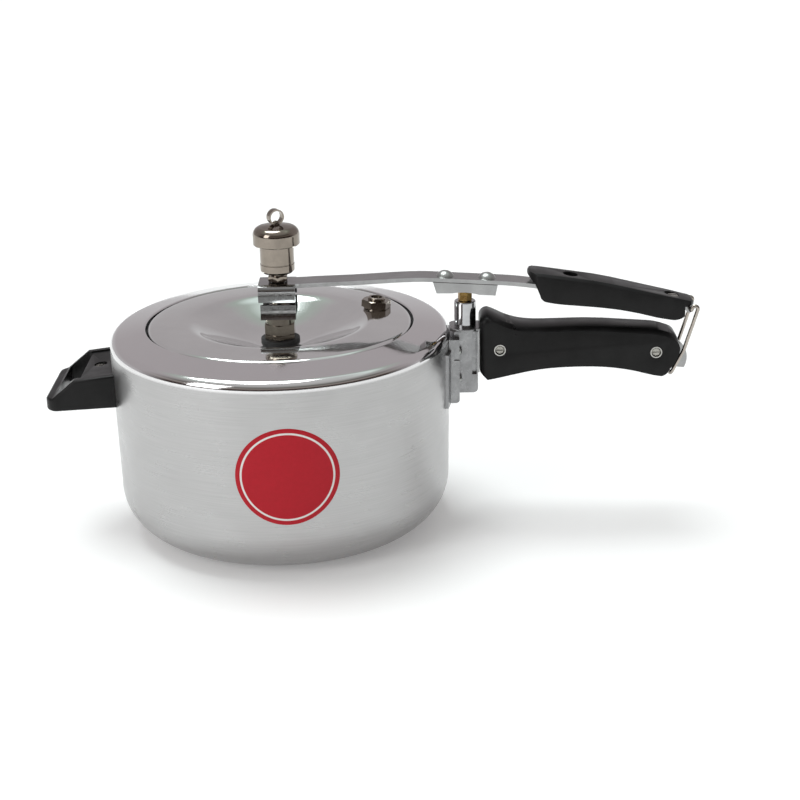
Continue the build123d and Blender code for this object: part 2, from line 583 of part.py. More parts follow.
# ---------------------------------------------------------------- weight valve
def weight_body():
    outline = [(4.6, WEIGHT_Z0), (9.6, WEIGHT_Z0 + 1.1), (11.0, WEIGHT_Z0 + 2.6), (11.1, 173.2), (10.7, 173.4),
               (10.7, 173.8), (10.9, 174.0), (10.9, CAP_JOIN_Z), (2.2, CAP_JOIN_Z), (2.2, 172.5), (4.6, 172.5)]
    return turned_shape(outline)


def weight_needle():
    return turned_shape([(0, 170.2), (0.35, 170.2), (0.85, 171.9), (2.2, 174.5), (2.2, CAP_JOIN_Z),
                         (0, CAP_JOIN_Z)])


def weight_cap():
    outline = [
        Line((0, CAP_JOIN_Z), (10.9, CAP_JOIN_Z)),
        Line((10.9, CAP_JOIN_Z), (10.9, CAP_Z0)),
        Line((10.9, CAP_Z0), (CAP_R - 0.4, CAP_Z0)),
        Line((CAP_R - 0.4, CAP_Z0), (CAP_R, CAP_Z0 + 0.5)),
        Line((CAP_R, CAP_Z0 + 0.5), (CAP_R, 192.6)),
        ThreePointArc((CAP_R, 192.6), (13.4, 196.2), (10.0, 197.7)),
        ThreePointArc((10.0, 197.7), (5.2, 198.4), (0, CAP_Z1)),
        Line((0, CAP_Z1), (0, CAP_JOIN_Z)),
    ]
    cap = revolve(Plane.XZ * make_face(outline), Axis.Z)
    return cap - rod(1.2, 0, 0, 194.0, 200.0)


def weight_ring():
    """Strip bent into a lifting ring and riveted to the cap."""
    half = RING_W / 2
    hole = rod_y(RING_R - RING_T, 0, RING_Z, -half - 1, half + 1)
    ring = rod_y(RING_R, 0, RING_Z, -half, half) + block(-1.7, 1.7, -half, half, CAP_Z1 - 0.5, CAP_Z1 + RING_T)
    return Rot(Z=RING_YAW) * (ring - hole) - weight_cap() - weight_ring_rivet()


def weight_ring_rivet():
    head_z = RING_Z - RING_R + RING_T
    return rod(1.2, 0, 0, 194.0, head_z + 0.5) + dome_head(1.9, 1.3, at(0, 0, head_z + 0.35))


# ---------------------------------------------------------------- lever
def bar_points():
    """Centre-plane route of the bar's top, from the end plate to the rolled eye."""
    tip_z = LOOP_PIVOT[1] + 2.6
    return [(11.0, BAR_TOP_Z), (20.0, BAR_TOP_Z + 0.3), (46.0, 162.3), (80.0, bar_top(80.0) - 1.1),
            (99.0, bar_top(99.0)), (142.0, bar_top(142.0)), (168.0, 157.6), (200.0, 151.8), (240.0, 145.4),
            (262.5, tip_z)]


def bar_strip():
    top = bar_points()
    under = [(x, z - BAR_DROP) for x, z in reversed(top)]
    rise = Spline(*top[:5], tangents=[(1, 0), (1, BAR_SLOPE)])
    fall = Spline(*top[5:], tangents=[(1, BAR_SLOPE), (1, -0.14)])
    rise_under = Spline(*under[5:], tangents=[(-1, -BAR_SLOPE), (-1, 0)])
    fall_under = Spline(*under[:5], tangents=[(-1, 0.14), (-1, -BAR_SLOPE)])
    outline = [rise, Line(top[4], top[5]), fall, Line(top[-1], under[0]), fall_under,
               Line(under[4], under[5]), rise_under, Line(under[-1], top[0])]
    return make_face(outline)


def lever_bar():
    bar = side_plate(Plane.XZ * bar_strip(), BAR_HALF_W)
    z_under = BAR_TOP_Z - BAR_T
    section = [
        Line((-9.0, BAR_TOP_Z), (9.0, BAR_TOP_Z)),
        ThreePointArc((9.0, BAR_TOP_Z), (12.1, 159.6), (12.9, 156.6)),
        ThreePointArc((12.9, 156.6), (12.7, 153.0), (11.9, EAR_Z)),
        Line((11.9, EAR_Z), (10.1, EAR_Z)),
        ThreePointArc((10.1, EAR_Z), (10.8, 153.4), (10.6, 156.4)),
        ThreePointArc((10.6, 156.4), (9.9, 158.0), (8.4, z_under)),
        Line((8.4, z_under), (-8.4, z_under)),
        ThreePointArc((-8.4, z_under), (-9.9, 158.0), (-10.6, 156.4)),
        ThreePointArc((-10.6, 156.4), (-10.8, 153.4), (-10.1, EAR_Z)),
        Line((-10.1, EAR_Z), (-11.9, EAR_Z)),
        ThreePointArc((-11.9, EAR_Z), (-12.7, 153.0), (-12.9, 156.6)),
        ThreePointArc((-12.9, 156.6), (-12.1, 159.6), (-9.0, BAR_TOP_Z)),
    ]
    saddle = at(PLATE_X0, 0, 0) * extrude(Plane.YZ * make_face(section), PLATE_X1 - PLATE_X0)
    bar += saddle
    px, pz = LOOP_PIVOT
    bar += rod_y(2.7, px, pz, -5.0, 5.0)
    bar += block(257.5, px, -5.0, 5.0, pz + 0.2, pz + 2.7) & rod_y(40, px - 20, pz, -5, 5)
    bar -= rod_y(WIRE_R + 0.1, px, pz, -12, 12)
    bar -= rod(VENT_R + 1.2, 0, 0, 150, 170)
    for x in RIVET_XS:
        bar -= rod(RIVET_SHANK_R, x, 0, 140, 180)
    for x in LID_SCREWS_X:
        bar -= rod(2.6, x, 0, 130, 170)
    return bar


def pivot_channel():
    """Inverted channel under the bar; the screw's ball bears on its web between the two rivets."""
    x0, x1 = CHANNEL_X
    side = make_face([
        Line((x0, bar_top(x0) - BAR_DROP), (x1, bar_top(x1) - BAR_DROP)),
        Line((x1, bar_top(x1) - BAR_DROP), (x1 - 1.4, 151.2)),
        Line((x1 - 1.4, 151.2), (129.0, 151.9)),
        ThreePointArc((129.0, 151.9), (FULCRUM_X, 153.6), (112.0, 153.2)),
        Line((112.0, 153.2), (x0 + 2.2, 153.4)),
        Line((x0 + 2.2, 153.4), (x0, bar_top(x0) - BAR_DROP)),
    ])
    channel = side_plate(Plane.XZ * side, CHANNEL_HALF_W)
    in_x0, in_x1 = x0 + 2.4, x1 - 2.4
    inside = make_face(Polyline([(in_x0, bar_top(in_x0) - WEB_DROP), (in_x1, bar_top(in_x1) - WEB_DROP),
                                 (in_x1, 140), (in_x0, 140)], close=True))
    channel -= side_plate(Plane.XZ * inside, CHANNEL_HALF_W - 1.5)
    for x in RIVET_XS:
        channel -= rod(RIVET_SHANK_R, x, 0, 140, 180)
    return channel


def pivot_rivets():
    rivets = []
    tilt = Rot(Y=-BAR_ANGLE)
    for x in RIVET_XS:
        z_top, z_low = bar_top(x), bar_top(x) - WEB_DROP
        shank = rod(RIVET_SHANK_R, x, 0, z_low - 0.2, z_top + 0.2)
        upper = dome_head(5.7, 3.3, at(x, 0, z_top + 0.02) * tilt)
        lower = dome_head(4.0, 1.7, at(x, 0, z_low - 0.02) * tilt * Rot(X=180))
        rivets.append(shank + upper + lower)
    return Compound(children=rivets)


def lid_handle():
    top = Spline((163.0, 165.9), (183, 163.0), (202, 160.0), (222, 155.7), (242, 150.7), (266.0, 144.6),
                 tangents=[(1, -0.1), (1, -0.24)])
    under = Spline((253.5, 132.6), (240.0, 136.0), (226.4, 139.3), (205, 142.7), (184.0, 144.8), (173.0, 146.6),
                   tangents=[(-1, 0.2), (-1, 0.25)])
    outline = [
        top,
        ThreePointArc((266.0, 144.6), (267.9, 143.4), (267.6, 141.4)),
        Line((267.6, 141.4), (262.0, 134.6)),
        ThreePointArc((262.0, 134.6), (258.2, 132.7), (253.5, 132.6)),
        under,
        ThreePointArc((173.0, 146.6), (169.6, 148.2), (168.0, 151.5)),
        Line((168.0, 151.5), (164.9, 158.8)),
        Line((164.9, 158.8), (160.6, 163.4)),
        ThreePointArc((160.6, 163.4), (160.8, 165.4), (163.0, 165.9)),
    ]
    face = Plane.XZ * make_face(outline)
    grip = crowned_plate(face, LID_HANDLE_HALF_W, LID_HANDLE_HALF_W - 2.2, 1.5)
    tip_half = 8.2
    plan = make_face([
        ThreePointArc((168.5, -LID_HANDLE_HALF_W - 1), (160.4, 0), (168.5, LID_HANDLE_HALF_W + 1)),
        Line((168.5, LID_HANDLE_HALF_W + 1), (240, LID_HANDLE_HALF_W + 1)),
        ThreePointArc((240, LID_HANDLE_HALF_W + 1), (254, tip_half + 0.9), (265.5, tip_half)),
        ThreePointArc((265.5, tip_half), (268.4, 0), (265.5, -tip_half)),
        ThreePointArc((265.5, -tip_half), (254, -tip_half - 0.9), (240, -LID_HANDLE_HALF_W - 1)),
        Line((240, -LID_HANDLE_HALF_W - 1), (168.5, -LID_HANDLE_HALF_W - 1)),
    ])
    grip &= extrude(at(0, 0, 120) * plan, 60)
    slot = side_plate(Plane.XZ * bar_strip(), BAR_HALF_W + 0.05)
    grip -= slot
    px, pz = LOOP_PIVOT
    grip -= rod_y(3.2, px, pz, -6.0, 6.0)
    grip -= block(px - 9, px, -6.0, 6.0, pz - 2.9, pz + 3.0)
    grip -= block(px - 3.4, px + 8, -20, 20, pz - 14, pz + 2.2)
    grip -= block(px - 0.5, px + 8, -20, 20, pz - 14, pz + 2.9)
    for x in LID_SCREWS_X:
        grip -= rod(2.6, x, 0, 120, 180)
        grip -= rod(LID_SCREW_BORE_R, x, 0, screw_seat(x), 180)
        grip -= hex_prism(8.3, x, 0, 120, nut_seat(x))
    return grip


def bar_height(x):
    """Approximate height of the bar's top inside the lid handle."""
    points = bar_points()[5:]
    for (xa, za), (xb, zb) in zip(points, points[1:]):
        if xa <= x <= xb:
            return za + (zb - za) * (x - xa) / (xb - xa)
    return points[-1][1]


def screw_seat(x):
    return bar_height(x) + 1.6


def nut_seat(x):
    return bar_height(x) - BAR_T - 3.0


def lid_handle_screws():
    screws = []
    for x in LID_SCREWS_X:
        seat = screw_seat(x)
        head = rod(4.4, x, 0, seat, seat + 2.4)
        head = fillet(head.edges().sort_by(Axis.Z)[-1], 1.0)
        head -= block(x - 5, x + 5, -0.5, 0.5, seat + 1.3, seat + 3)
        screws.append(head + rod(2.5, x, 0, nut_seat(x) - 3.2, seat))
    return Compound(children=screws)


def lid_handle_nuts():
    return Compound(children=[nut_shape(8.0, x, 0, nut_seat(x) - 3.0, nut_seat(x)) - rod(2.5, x, 0, 100, 180)
                              for x in LID_SCREWS_X])


def latch_loop():
    """Closed wire loop: a straight pin through the bar's eye, two legs and the crossbar under the hook."""
    px, pz = LOOP_PIVOT
    side_view = [(px, pz), (266.6, pz + 3.2), (270.3, pz + 3.2), (261.6, 112.4), LOOP_FOOT]
    bends = [1.8, 1.8, 1.8, 12.0, 2.6]
    near = [(x, -LOOP_Y, z) for x, z in side_view]
    far = [(x, LOOP_Y, z) for x, z in reversed(side_view)]
    route = FilletPolyline(*near, *far, radius=[*bends, *reversed(bends)], close=True)
    section = Plane(origin=route @ 0, z_dir=route % 0) * Circle(WIRE_R)
    return sweep(section, path=route)


PARTS = [
    pot_body, backing_plate, body_bracket, bracket_rivets, fulcrum_post, post_collar, adjusting_screw,
    handle_tang, body_handle, handle_ferrules, handle_screws, handle_nuts,
    helper_handle, helper_bracket, helper_rivets, helper_screw, helper_nut, front_label,
    lid_shell, lid_gasket, vent_seal_washer, boss_nut, lid_bracket, bracket_nut, vent_tube, vent_tube_nut,
    valve_washer, safety_valve_body, safety_valve_plug, safety_valve_nut,
    weight_body, weight_needle, weight_cap, weight_ring, weight_ring_rivet,
    lever_bar, pivot_channel, pivot_rivets, lid_handle, lid_handle_screws, lid_handle_nuts, latch_loop,
]

os.makedirs("parts", exist_ok=True)
for make in PARTS:
    shape = make()
    print(make.__name__, len(shape.solids()), round(shape.volume))
    export_step(shape, f"parts/{make.__name__}.step")
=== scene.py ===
"""Looks of the pressure cooker: fine meshes for its large pieces and a node material for every piece."""
import json
import math

import bmesh
import bpy
from mathutils import Matrix, Vector


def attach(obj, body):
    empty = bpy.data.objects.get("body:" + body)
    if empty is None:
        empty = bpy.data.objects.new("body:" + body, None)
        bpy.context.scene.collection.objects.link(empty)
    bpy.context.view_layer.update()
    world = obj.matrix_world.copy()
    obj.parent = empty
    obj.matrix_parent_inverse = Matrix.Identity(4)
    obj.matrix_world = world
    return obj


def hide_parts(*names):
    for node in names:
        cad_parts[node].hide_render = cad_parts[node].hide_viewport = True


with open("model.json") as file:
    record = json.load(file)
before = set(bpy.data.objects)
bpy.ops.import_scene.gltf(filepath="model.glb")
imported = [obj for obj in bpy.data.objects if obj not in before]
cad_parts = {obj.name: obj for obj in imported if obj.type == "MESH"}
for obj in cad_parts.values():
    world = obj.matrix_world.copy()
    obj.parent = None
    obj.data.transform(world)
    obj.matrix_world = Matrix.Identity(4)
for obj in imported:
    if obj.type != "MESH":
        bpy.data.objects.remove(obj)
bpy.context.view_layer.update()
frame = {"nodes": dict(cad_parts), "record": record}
NODES = frame["nodes"]
MM = 0.001
SEGMENTS = 288                   # round the pot and the lid

# ---------------------------------------------------------------- sizes in millimetres, as in the CAD model
POT_R, POT_BASE_R, SHOULDER_Z = 110.0, 108.3, 124.8
WALL, FLOOR_T, BASE_ROUND, SHOULDER_ROUND = 3.0, 4.0, 30.0, 6.0
TOP_SLOPE = math.radians(10.9)
MOUTH = (86.8, 84.2)             # half axes of the oval mouth
SEAT_Z = 130.9
LIP_ROUND = 0.8
RIM = (85.7, 83.1)               # half axes of the lid's upstanding rim
FLANGE = (88.9, 86.3)
FLANGE_Z = (125.2, 127.5)
SKIRT_TOP_Z = 130.0              # inside the rim, where its straight part ends
LID_FLOOR_Z, LID_T, RIM_ROUND = 121.5, 2.4, 3.0
LID_KNOTS = [                    # radius, height and slope along the lid's top
    (15.0, LID_FLOOR_Z, 0.0), (28.0, 124.1, 0.32), (50.0, 132.3, 0.38),
    (60.0, 135.6, 0.0), (76.0, 135.0, -0.06), (94.0, 133.7, -0.08),
]
ROUND_LID_R = 70.0               # the lid is round inside this radius, and eases to the oval outside it
DISH_STEP, DISH_RINGS = 1.25, 44
UNDER_SHIFT = 0.9                # the dish's underside lies this much further out
VENT_HOLE_R = 4.3
POLE_R = 0.02                    # radius of a turned shape's first and last rings
LABEL_R, LABEL_X, LABEL_Z = 31.6, 8.2, 70.0
LABEL_T = 0.16
LABEL_RING_R, LABEL_RING_HALF = 28.2, 0.6

# where the shoulder's round meets the sloping top
TOP_EDGE_R = POT_R - SHOULDER_ROUND + SHOULDER_ROUND * math.sin(TOP_SLOPE)
TOP_EDGE_Z = SHOULDER_Z + SHOULDER_ROUND * math.cos(TOP_SLOPE)


def wall_radius(z):
    return POT_BASE_R + (POT_R - POT_BASE_R) * z / SHOULDER_Z


# ---------------------------------------------------------------- node materials
class Finish:
    """A principled material and short ways to add the nodes that drive it."""

    def __init__(self, name, color, rough, metallic=0.0, **sockets):
        self.material = bpy.data.materials.new(name)
        self.material.use_nodes = True
        self.tree = self.material.node_tree
        self.shader = self.tree.nodes["Principled BSDF"]
        self.color = (*color, 1.0)
        self.shader.inputs["Base Color"].default_value = self.color
        self.shader.inputs["Roughness"].default_value = rough
        self.shader.inputs["Metallic"].default_value = metallic
        for socket, value in sockets.items():
            self.shader.inputs[socket.replace("_", " ")].default_value = value
        self.place = self.add("ShaderNodeTexCoord").outputs["Object"]

    def add(self, kind, inputs=(), **settings):
        made = self.tree.nodes.new(kind)
        for name, value in settings.items():
            setattr(made, name, value)
        for index, value in dict(inputs).items():
            if isinstance(value, bpy.types.NodeSocket):
                self.tree.links.new(value, made.inputs[index])
            else:
                made.inputs[index].default_value = value
        return made

    def math(self, operation, a, b=0.0):
        return self.add("ShaderNodeMath", {0: a, 1: b}, operation=operation).outputs[0]

    def axes(self):
        return self.add("ShaderNodeSeparateXYZ", {0: self.place}).outputs

    def vector(self, x, y, z):
        return self.add("ShaderNodeCombineXYZ", {0: x, 1: y, 2: z}).outputs[0]

    def scaled(self, x, y, z):
        inputs = {0: self.place, 1: (x, y, z)}
        return self.add("ShaderNodeVectorMath", inputs, operation="MULTIPLY").outputs[0]

    def noise(self, vector, scale, detail=4.0, rough=0.55):
        inputs = {"Vector": vector, "Scale": scale, "Detail": detail, "Roughness": rough}
        return self.add("ShaderNodeTexNoise", inputs).outputs["Fac"]

    def spread(self, value, low, high, start=0.3, end=0.7):
        """value from start..end mapped to low..high."""
        inputs = {"Value": value, "From Min": start, "From Max": end, "To Min": low, "To Max": high}
        return self.add("ShaderNodeMapRange", inputs).outputs["Result"]

    def mix(self, factor, a, b):
        made = self.add("ShaderNodeMix", data_type="RGBA")
        for index, value in ((0, factor), (6, a), (7, b)):
            if isinstance(value, bpy.types.NodeSocket):
                self.tree.links.new(value, made.inputs[index])
            else:
                made.inputs[index].default_value = value
        return made.outputs[2]

    def drive(self, socket, value):
        self.tree.links.new(value, self.shader.inputs[socket])

    def bump(self, height, strength, distance=0.0002):
        inputs = {"Strength": strength, "Distance": distance, "Height": height}
        if self.shader.inputs["Normal"].is_linked:
            inputs["Normal"] = self.shader.inputs["Normal"].links[0].from_socket
        self.drive("Normal", self.add("ShaderNodeBump", inputs).outputs[0])

    def shades(self, low, high, scale=60.0):
        """Lets the base colour wander between low and high times itself."""
        dark = tuple(c * low for c in self.color[:3]) + (1.0,)
        light = tuple(min(1.0, c * high) for c in self.color[:3]) + (1.0,)
        fac = self.spread(self.noise(self.place, scale), 0.0, 1.0)
        self.drive("Base Color", self.mix(fac, dark, light))

    def polar(self):
        """Angle round the upright axis and distance from it."""
        x, y, _ = self.axes()
        angle = self.math("ARCTAN2", y, x)
        square = self.math("ADD", self.math("MULTIPLY", x, x), self.math("MULTIPLY", y, y))
        return angle, self.math("SQRT", square)


def pot_finish():
    """Brushed and greyer round the wall, polished from where the shoulder starts."""
    made = Finish("pot_aluminium", (0.70, 0.70, 0.71), 0.3, 1.0)
    angle, radius = made.polar()
    z = made.axes()[2]
    fine = made.vector(made.math("MULTIPLY", angle, 2.4), made.math("MULTIPLY", z, 1500.0), 0.0)
    broad = made.vector(made.math("MULTIPLY", angle, 5.0), made.math("MULTIPLY", z, 60.0), 0.0)
    lines = made.noise(fine, 1.0, 6.0)
    patches = made.noise(broad, 1.0, 3.0)
    brushed = made.math("ADD", made.spread(lines, -0.05, 0.05), made.spread(patches, 0.27, 0.37))
    polished = made.spread(made.noise(made.place, 90.0), 0.06, 0.12)
    wall_share = made.spread(z, 1.0, 0.0, (SHOULDER_Z - 1.3) * MM, SHOULDER_Z * MM)
    shares = {0: wall_share, 2: polished, 3: brushed}
    made.drive("Roughness", made.add("ShaderNodeMix", shares, data_type="FLOAT").outputs[0])
    wall_tint = made.mix(made.spread(lines, 0.0, 1.0), (0.425, 0.42, 0.42, 1.0), (0.485, 0.48, 0.48, 1.0))
    made.drive("Base Color", made.mix(wall_share, (0.72, 0.71, 0.715, 1.0), wall_tint))
    made.bump(made.math("MULTIPLY", lines, wall_share), 0.16, 0.00012)
    rings = made.noise(made.vector(made.math("MULTIPLY", radius, 500.0), 0.0, 0.0), 1.0, 2.0)
    made.bump(rings, 0.004, 0.0001)
    return made.material


def lid_finish():
    """Mirror-bright spinning with very faint rings and a few smudges."""
    made = Finish("lid_aluminium", (0.74, 0.75, 0.745), 0.08, 1.0)
    _, radius = made.polar()
    rings = made.noise(made.vector(made.math("MULTIPLY", radius, 700.0), 0.0, 0.0), 1.0, 4.0)
    smudges = made.noise(made.place, 45.0, 5.0, 0.6)
    made.drive("Roughness", made.spread(smudges, 0.045, 0.12, 0.35, 0.75))
    made.bump(rings, 0.006, 0.0001)
    made.bump(made.noise(made.place, 28.0, 2.0), 0.03, 0.0006)
    made.shades(0.95, 1.03, 30.0)
    return made.material


def phenolic_finish():
    """Moulded black phenolic, semi-gloss, with a fine grain and rubbed patches."""
    made = Finish("phenolic_black", (0.006, 0.0058, 0.006), 0.34, 0.0, Specular_IOR_Level=0.2)
    made.drive("Roughness", made.spread(made.noise(made.place, 55.0, 6.0), 0.27, 0.42))
    made.bump(made.noise(made.place, 1900.0, 3.0), 0.07, 0.00008)
    made.bump(made.noise(made.place, 160.0, 3.0), 0.05, 0.0003)
    made.shades(0.7, 1.5, 70.0)
    return made.material


def turned_finish(name, color, rough, ring_strength=0.06, variation=0.05, axis=2):
    """Turned and plated metal: faint lathe rings along the axis, and patchy polish."""
    made = Finish(name, color, rough, 1.0)
    along = made.axes()[axis]
    rings = made.noise(made.vector(made.math("MULTIPLY", along, 1600.0), 0.0, 0.0), 1.0, 3.0)
    patches = made.noise(made.place, 220.0, 4.0)
    made.drive("Roughness", made.spread(patches, max(0.03, rough - variation), rough + variation))
    made.bump(rings, ring_strength, 0.0001)
    made.shades(0.86, 1.08, 140.0)
    return made.material


def drawn_finish(name, color, rough, stretch=(30.0, 1400.0, 1400.0), strength=0.1):
    """Sheet or wire with fine lines along its length, and small marks."""
    made = Finish(name, color, rough, 1.0)
    lines = made.noise(made.scaled(*stretch), 1.0, 5.0)
    marks = made.noise(made.place, 320.0, 5.0, 0.65)
    spots = made.spread(marks, rough - 0.05, rough + 0.09)
    made.drive("Roughness", made.math("ADD", made.spread(lines, -0.05, 0.05), spots))
    made.bump(lines, strength, 0.0001)
    made.shades(0.88, 1.08, 90.0)
    return made.material


def plated_finish(name, color, rough, grain=500.0, strength=0.12):
    """Dull plated or formed metal with a fine uneven grain and a tone that wanders darker and lighter at
    random.
    """
    made = Finish(name, color, rough, 1.0)
    fine = made.noise(made.place, grain, 5.0, 0.65)
    made.drive("Roughness", made.spread(fine, rough - 0.08, rough + 0.10))
    made.bump(fine, strength, 0.00015)
    made.shades(0.78, 1.1, 120.0)
    return made.material


def rubber_finish():
    """Matt black rubber."""
    made = Finish("gasket_rubber", (0.014, 0.014, 0.015), 0.62)
    made.drive("Roughness", made.spread(made.noise(made.place, 240.0), 0.52, 0.72))
    made.bump(made.noise(made.place, 900.0, 4.0), 0.2, 0.0002)
    made.shades(0.7, 1.4, 100.0)
    return made.material


def label_finish():
    """Printed film: a red disc with one thin pale ring near its edge."""
    made = Finish("label_film", (0.52, 0.007, 0.02), 0.45, 0.0, Specular_IOR_Level=0.25)
    x, _, z = made.axes()
    from_x = made.math("SUBTRACT", x, LABEL_X * MM)
    from_z = made.math("SUBTRACT", z, LABEL_Z * MM)
    square = made.math("ADD", made.math("MULTIPLY", from_x, from_x), made.math("MULTIPLY", from_z, from_z))
    off_ring = made.math("ABSOLUTE", made.math("SUBTRACT", made.math("SQRT", square), LABEL_RING_R * MM))
    soft = 0.00012
    ring = made.spread(off_ring, 1.0, 0.0, LABEL_RING_HALF * MM - soft, LABEL_RING_HALF * MM + soft)
    ink = made.noise(made.place, 380.0, 5.0)
    red = made.mix(made.spread(ink, 0.0, 1.0), (0.44, 0.004, 0.014, 1.0), (0.48, 0.006, 0.018, 1.0))
    made.drive("Base Color", made.mix(ring, red, (0.80, 0.78, 0.76, 1.0)))
    made.drive("Roughness", made.spread(ink, 0.4, 0.5))
    made.bump(made.noise(made.place, 600.0, 3.0), 0.03, 0.0001)
    return made.material


FINISHES = {
    "pot_aluminium": pot_finish(),
    "lid_aluminium": lid_finish(),
    "phenolic_black": phenolic_finish(),
    "bracket_steel": plated_finish("bracket_steel", (0.30, 0.30, 0.305), 0.30),
    "bar_steel": drawn_finish("bar_steel", (0.33, 0.33, 0.33), 0.15),
    "chrome_post": turned_finish("chrome_post", (0.46, 0.46, 0.47), 0.08),
    "nickel": turned_finish("nickel", (0.27, 0.235, 0.20), 0.10),
    "wire_steel": drawn_finish("wire_steel", (0.42, 0.38, 0.34), 0.16, (700.0, 700.0, 60.0), 0.06),
    "zinc_rivet": plated_finish("zinc_rivet", (0.38, 0.39, 0.38), 0.32, 420.0, 0.08),
    "fastener_steel": plated_finish("fastener_steel", (0.36, 0.35, 0.32), 0.26),
    "ferrule": turned_finish("ferrule", (0.44, 0.43, 0.41), 0.22, axis=1),
    "brass_screw": turned_finish("brass_screw", (0.56, 0.37, 0.13), 0.18),
    "gasket_rubber": rubber_finish(),
    "label_film": label_finish(),
    "fusible_metal": plated_finish("fusible_metal", (0.40, 0.40, 0.38), 0.42),
}
SLOT_OF = {entry["node"]: entry["material_slot"] for entry in frame["record"]["subparts"]}


def dress(obj, slot):
    obj.data.materials.clear()
    obj.data.materials.append(FINISHES[slot])


def smooth(obj, degrees=30.0):
    """Smooth shading that keeps edges sharper than the angle."""
    mesh = bmesh.new()
    mesh.from_mesh(obj.data)
    for face in mesh.faces:
        face.smooth = True
    for edge in mesh.edges:
        edge.smooth = len(edge.link_faces) == 2 and edge.calc_face_angle() < math.radians(degrees)
    mesh.to_mesh(obj.data)
    mesh.free()


def new_piece(name, mesh, body, slot, node):
    """A visual piece that rides on the body and stands for the CAD node."""
    obj = bpy.data.objects.new(name, mesh)
    bpy.context.scene.collection.objects.link(obj)
    dress(obj, slot)
    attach(obj, body)
    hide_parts(node)
    return obj


# ---------------------------------------------------------------- turned pieces
def arc(centre, radius, start, end, count):
    """Points on an arc in the (radius, z) plane; angles in degrees from the outward direction."""
    points = []
    for step in range(count + 1):
        angle = math.radians(start + (end - start) * step / count)
        points.append((centre[0] + radius * math.cos(angle), centre[1] + radius * math.sin(angle)))
    return points


def turned_mesh(name, rings):
    """Closed surface through rings, each a function of the angle that gives (radius, z) in millimetres."""
    mesh = bmesh.new()
    loops = []
    for ring in rings:
        loop = []
        for index in range(SEGMENTS):
            angle = 2 * math.pi * index / SEGMENTS
            radius, z = ring(angle)
            place = (radius * math.cos(angle) * MM, radius * math.sin(angle) * MM, z * MM)
            loop.append(mesh.verts.new(place))
        loops.append(loop)
    for one, two in zip(loops, loops[1:] + loops[:1]):
        for index in range(SEGMENTS):
            after = (index + 1) % SEGMENTS
            mesh.faces.new((one[index], one[after], two[after], two[index]))
    bmesh.ops.recalc_face_normals(mesh, faces=mesh.faces)
    data = bpy.data.meshes.new(name)
    mesh.to_mesh(data)
    mesh.free()
    return data


def round_ring(radius, z):
    return lambda angle: (radius, z)


def oval_radius(half, angle):
    a, b = half
    return a * b / math.hypot(b * math.cos(angle), a * math.sin(angle))


def oval_ring(half, offset, z):
    return lambda angle: (oval_radius(half, angle) + offset, z)


def cone_z(radius):
    """Height of the pot's sloping top at a radius."""
    return TOP_EDGE_Z + (TOP_EDGE_R - radius) * math.tan(TOP_SLOPE)


def between_ring(share, offset=0.0, drop=0.0):
    """Ring on the sloping top, from the round shoulder at share 0 to the oval mouth at share 1."""
    def ring(angle):
        radius = TOP_EDGE_R + (oval_radius(MOUTH, angle) - TOP_EDGE_R) * share + offset
        return radius, cone_z(radius) - drop
    return ring


def make_pot():
    """Outside from the base up to the lip, then the inside down to the floor."""
    base_r = wall_radius(BASE_ROUND) - BASE_ROUND
    rings = [round_ring(POLE_R, 0.0), round_ring(base_r * 0.5, 0.0)]
    rings += [round_ring(r, z) for r, z in arc((base_r, BASE_ROUND), BASE_ROUND, -90, 0, 24)]
    rings += [round_ring(wall_radius(z), z) for z in (50.0, 75.0, 100.0)]
    shoulder_end = 90 - math.degrees(TOP_SLOPE)
    shoulder = arc((POT_R - SHOULDER_ROUND, SHOULDER_Z), SHOULDER_ROUND, 0, shoulder_end, 14)
    rings += [round_ring(r, z) for r, z in shoulder]
    rings += [between_ring(share) for share in (0.25, 0.5, 0.75, 0.93)]
    for degrees in (0, 25, 50, 75, 90):
        turn = math.radians(degrees)
        rings.append(between_ring(1.0, LIP_ROUND * (1 - math.sin(turn)), LIP_ROUND * (1 - math.cos(turn))))
    rings += [oval_ring(MOUTH, 0.0, SEAT_Z + 0.4), oval_ring(MOUTH, 0.3, SEAT_Z), round_ring(93.0, SEAT_Z)]
    rings += [round_ring(POT_R - WALL - 3.5, SHOULDER_Z + 1.2), round_ring(POT_R - WALL, SHOULDER_Z - 2)]
    inner_round = BASE_ROUND - WALL
    inner = arc((base_r, FLOOR_T + inner_round), inner_round, 0, -90, 18)
    rings += [round_ring(r, z) for r, z in inner] + [round_ring(POLE_R, FLOOR_T)]
    pot = new_piece("pot_shell", turned_mesh("pot_shell", rings), "pot", "pot_aluminium", "pot_body")
    smooth(pot, 38)


def lid_surface(radius):
    """Height of the lid's top at a radius, by cubics between the knots."""
    if radius <= LID_KNOTS[0][0]:
        return LID_FLOOR_Z
    for (r0, z0, s0), (r1, z1, s1) in zip(LID_KNOTS, LID_KNOTS[1:]):
        if radius <= r1:
            width = r1 - r0
            t = (radius - r0) / width
            from_z0 = (2 * t ** 3 - 3 * t ** 2 + 1) * z0 + (t ** 3 - 2 * t ** 2 + t) * width * s0
            from_z1 = (3 * t ** 2 - 2 * t ** 3) * z1 + (t ** 3 - t ** 2) * width * s1
            return from_z0 + from_z1
    return LID_KNOTS[-1][1]


def lid_rim_ring(degrees):
    """Ring on the rounded edge between the lid's top (90 degrees) and its upright rim (0 degrees)."""
    turn = math.radians(degrees)

    def ring(angle):
        edge = oval_radius(RIM, angle)
        top = lid_surface(edge - RIM_ROUND)
        return edge + RIM_ROUND * (math.cos(turn) - 1), top + RIM_ROUND * (math.sin(turn) - 1)
    return ring


